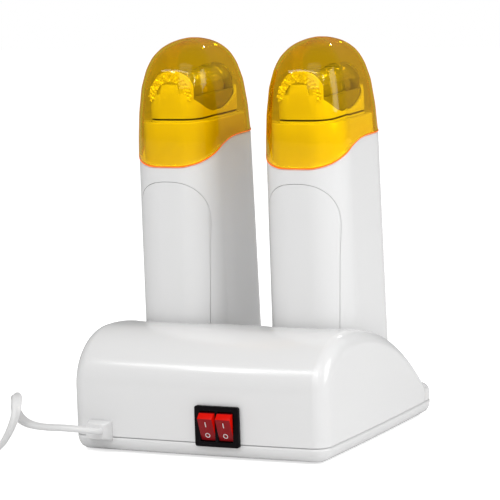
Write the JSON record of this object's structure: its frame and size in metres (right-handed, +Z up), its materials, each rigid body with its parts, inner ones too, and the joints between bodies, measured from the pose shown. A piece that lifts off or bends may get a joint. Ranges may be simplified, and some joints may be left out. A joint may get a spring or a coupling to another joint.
{
  "type": "roll on wax heater",
  "caption": "White charging base with sloping front, twin red rocker switches, and docked handheld roll-on wax warmers with clear amber caps.",
  "frame": {"origin": "middle of the footprint of base and cord outlet, on the table under the feet", "axes": "+Z up, -Y the front with the sloping hood, +Y the rear with switches and cord, X along the row of docked handsets"},
  "size_m": [0.2986, 0.1823, 0.2045],
  "materials": {
    "white_shell": "glossy",
    "gland_white": "satin",
    "cord_white": "satin",
    "foot_rubber": "matt",
    "screw_metal": "satin",
    "switch_black": "matt",
    "rocker_red": "glossy, translucent",
    "brass_contact": "satin",
    "sleeve_white": "satin",
    "window_amber": "clear tinted",
    "heater_aluminium": "satin",
    "wax_bottle": "translucent",
    "head_plastic": "satin",
    "roller_plastic": "translucent",
    "clear_film": "clear",
    "cap_amber": "clear amber"
  },
  "bodies": {
    "base": {"hood": "white_shell", "tray": "white_shell", "well_left": "white_shell", "well_right": "white_shell", "guides_left": "white_shell", "guides_right": "white_shell", "screw_posts": "white_shell", "base_screws": "screw_metal", "feet": "foot_rubber", "switch_bezel": "switch_black", "switch_body": "switch_black", "switch_terminals": "brass_contact", "cord_gland": "gland_white", "cord_tail": "cord_white", "cord_clamp": "switch_black", "terminal_block": "switch_black", "dock_contacts": "brass_contact", "cord_run": "cord_white", "cord_coil": "cord_white", "plug": "gland_white", "plug_pins": "brass_contact"},
    "switch_left": {"rocker_left": "rocker_red"},
    "switch_right": {"rocker_right": "rocker_red"},
    "handset_left": {"handset_body_left": "white_shell", "rear_cover_left": "white_shell", "inner_sleeve_left": "sleeve_white", "level_window_left": "window_amber", "heater_plate_left": "heater_aluminium", "heating_element_left": "switch_black", "thermal_cutout_left": "brass_contact", "contact_block_left": "switch_black", "contact_plates_left": "brass_contact"},
    "cartridge_left": {"bottle_left": "wax_bottle", "cartridge_head_left": "head_plastic", "film_left": "clear_film"},
    "wax_roller_left": {"roller_left": "roller_plastic"},
    "clear_cap_left": {"cap_left": "cap_amber"},
    "handset_right": {"handset_body_right": "white_shell", "rear_cover_right": "white_shell", "inner_sleeve_right": "sleeve_white", "level_window_right": "window_amber", "heater_plate_right": "heater_aluminium", "heating_element_right": "switch_black", "thermal_cutout_right": "brass_contact", "contact_block_right": "switch_black", "contact_plates_right": "brass_contact"},
    "cartridge_right": {"bottle_right": "wax_bottle", "cartridge_head_right": "head_plastic", "film_right": "clear_film"},
    "wax_roller_right": {"roller_right": "roller_plastic"},
    "clear_cap_right": {"cap_right": "cap_amber"}
  },
  "joints": [
    {"name": "handset_lift_left", "type": "slide", "parent": "base", "child": "handset_left", "axis": [0, 0.0244, 0.9997], "range_m": [0, 0.07]},
    {"name": "cartridge_lift_left", "type": "slide", "parent": "handset_left", "child": "cartridge_left", "axis": [0, 0.0244, 0.9997], "range_m": [0, 0.15]},
    {"name": "roller_spin_left", "type": "hinge", "parent": "cartridge_left", "child": "wax_roller_left", "pos_m": [-0.0364, -0.01502, 0.17695], "axis": [0, 0.9997, -0.0244], "continuous": true},
    {"name": "cap_lift_left", "type": "slide", "parent": "cartridge_left", "child": "clear_cap_left", "axis": [0, 0.0244, 0.9997], "range_m": [0, 0.07]},
    {"name": "rocker_tilt_left", "type": "hinge", "parent": "base", "child": "switch_left", "pos_m": [-0.0179, 0.0689, 0.0175], "axis": [1, 0, 0], "range_deg": [0, 24]},
    {"name": "handset_lift_right", "type": "slide", "parent": "base", "child": "handset_right", "axis": [0, 0.0244, 0.9997], "range_m": [0, 0.07]},
    {"name": "cartridge_lift_right", "type": "slide", "parent": "handset_right", "child": "cartridge_right", "axis": [0, 0.0244, 0.9997], "range_m": [0, 0.15]},
    {"name": "roller_spin_right", "type": "hinge", "parent": "cartridge_right", "child": "wax_roller_right", "pos_m": [0.0364, -0.01502, 0.17695], "axis": [0, 0.9997, -0.0244], "continuous": true},
    {"name": "cap_lift_right", "type": "slide", "parent": "cartridge_right", "child": "clear_cap_right", "axis": [0, 0.0244, 0.9997], "range_m": [0, 0.07]},
    {"name": "rocker_tilt_right", "type": "hinge", "parent": "base", "child": "switch_right", "pos_m": [-0.0081, 0.0689, 0.0175], "axis": [1, 0, 0], "range_deg": [0, 24]}
  ]
}
